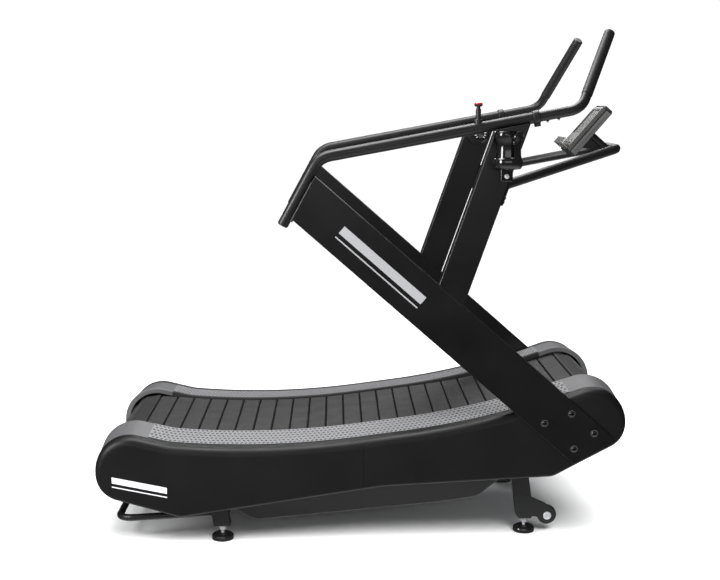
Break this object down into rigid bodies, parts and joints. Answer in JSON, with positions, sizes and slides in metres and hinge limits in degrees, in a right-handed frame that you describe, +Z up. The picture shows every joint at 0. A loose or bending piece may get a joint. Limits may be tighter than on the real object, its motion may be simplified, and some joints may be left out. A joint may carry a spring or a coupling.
{
  "type": "curved manual treadmill",
  "caption": "Self-powered curved treadmill with a slatted rubber belt, side arms, handrails, angled hand grips, a tilted console and a bottle holder",
  "frame": {"origin": "the centre of the bounding box's footprint, on the floor under the feet", "axes": "+X towards the front of the machine, where the runner faces, +Y towards the runner's left, +Z up"},
  "size_m": [1.8424, 1.0164, 1.747],
  "materials": {
    "powder_coat": "satin black powder coat",
    "cover": "fine matt charcoal",
    "cap": "smooth mid grey",
    "tread": "raised anti-slip pattern, grey",
    "rubber": "ribbed black rubber",
    "steel": "bright zinc",
    "aluminium": "machined",
    "silver": "satin silver grey",
    "gloss_black": "glossy black",
    "grip": "soft matt grip",
    "screen": "dark display window",
    "red": "glossy dark red",
    "dark_plastic": "satin black"
  },
  "bodies": {
    "frame": {"arm_bolts_left": "gloss_black", "arm_bolts_right": "gloss_black", "bearing_front_left": "steel", "bearing_front_right": "steel", "bearing_rear_left": "steel", "bearing_rear_right": "steel", "belly_pan": "cover", "bottle_cage": "gloss_black", "collar_left": "powder_coat", "collar_right": "powder_coat", "console_back": "silver", "console_frame": "powder_coat", "console_front": "silver", "cross_member_front": "powder_coat", "cross_member_rear": "powder_coat", "diagonal_arm_left": "powder_coat", "diagonal_arm_right": "powder_coat", "dial_base": "dark_plastic", "display": "screen", "front_cap_left": "cap", "front_cap_right": "cap", "front_stand": "powder_coat", "grip_left": "grip", "grip_right": "grip", "handle_left": "powder_coat", "handle_right": "powder_coat", "handrail_left": "powder_coat", "handrail_right": "powder_coat", "lift_handle": "powder_coat", "rear_cap_left": "cap", "rear_cap_right": "cap", "rear_stand": "powder_coat", "roller_rail_left": "aluminium", "roller_rail_right": "aluminium", "side_cover_front_left": "cover", "side_cover_front_right": "cover", "side_cover_rear_left": "cover", "side_cover_rear_right": "cover", "side_plate_left": "powder_coat", "side_plate_right": "powder_coat", "slat_belt": "rubber", "stop_button_post": "dark_plastic", "tread_plate_left": "tread", "tread_plate_right": "tread", "upright_left": "powder_coat", "upright_right": "powder_coat"},
    "front_roller": {"front_roller": "aluminium", "brake_disc": "aluminium"},
    "rear_roller": {"rear_roller": "aluminium"},
    "transport_wheel_right": {"transport_wheel_right": "rubber"},
    "transport_wheel_left": {"transport_wheel_left": "rubber"},
    "dial_knob": {"dial_knob": "gloss_black"},
    "brake_arm": {"brake_arm": "steel"},
    "stop_button": {"stop_button_cap": "red"},
    "console_key_1": {"console_key_1": "dark_plastic"},
    "console_key_2": {"console_key_2": "dark_plastic"},
    "foot_rear_right": {"foot_rear_right": "gloss_black"},
    "foot_rear_left": {"foot_rear_left": "gloss_black"},
    "foot_front_right": {"foot_front_right": "gloss_black"},
    "foot_front_left": {"foot_front_left": "gloss_black"}
  },
  "joints": [
    {"name": "front_roller_spin", "type": "hinge", "parent": "frame", "child": "front_roller", "pos_m": [0.76775, 0.04625, 0.432], "axis": [0, 1, 0], "continuous": true},
    {"name": "rear_roller_spin", "type": "hinge", "parent": "frame", "child": "rear_roller", "pos_m": [-0.79725, 0.04625, 0.272], "axis": [0, 1, 0], "continuous": true},
    {"name": "transport_wheel_right_spin", "type": "hinge", "parent": "frame", "child": "transport_wheel_right", "pos_m": [0.64475, -0.24925, 0.061], "axis": [0, 1, 0], "continuous": true},
    {"name": "transport_wheel_left_spin", "type": "hinge", "parent": "frame", "child": "transport_wheel_left", "pos_m": [0.64475, 0.34175, 0.061], "axis": [0, 1, 0], "continuous": true},
    {"name": "resistance_dial", "type": "hinge", "parent": "frame", "child": "dial_knob", "pos_m": [0.46675, 0.45195, 1.384], "axis": [0, -1, 0], "range_deg": [0, 270]},
    {"name": "brake_arm_tilt", "type": "hinge", "parent": "frame", "child": "brake_arm", "pos_m": [0.63775, 0.39525, 0.365], "axis": [0, -1, 0], "range_deg": [0, 12]},
    {"name": "stop_button_press", "type": "slide", "parent": "frame", "child": "stop_button", "axis": [0, 0, -1], "range_m": [0, 0.006], "stiffness_N_per_m": 400, "springref_m": -0.002},
    {"name": "console_key_1_press", "type": "slide", "parent": "frame", "child": "console_key_1", "axis": [0.7547, 0, -0.6561], "range_m": [0, 0.0008], "stiffness_N_per_m": 600, "springref_m": -0.001},
    {"name": "console_key_2_press", "type": "slide", "parent": "frame", "child": "console_key_2", "axis": [0.7547, 0, -0.6561], "range_m": [0, 0.0008], "stiffness_N_per_m": 600, "springref_m": -0.001},
    {"name": "foot_rear_right_screw", "type": "slide", "parent": "frame", "child": "foot_rear_right", "axis": [0, 0, -1], "range_m": [0, 0.012]},
    {"name": "foot_rear_left_screw", "type": "slide", "parent": "frame", "child": "foot_rear_left", "axis": [0, 0, -1], "range_m": [0, 0.012]},
    {"name": "foot_front_right_screw", "type": "slide", "parent": "frame", "child": "foot_front_right", "axis": [0, 0, -1], "range_m": [0, 0.012]},
    {"name": "foot_front_left_screw", "type": "slide", "parent": "frame", "child": "foot_front_left", "axis": [0, 0, -1], "range_m": [0, 0.012]}
  ],
  "couplings": [
    {"joint": "rear_roller_spin", "follows": "front_roller_spin", "ratio": 1},
    {"joint": "brake_arm_tilt", "follows": "resistance_dial", "ratio": 0.044444}
  ]
}
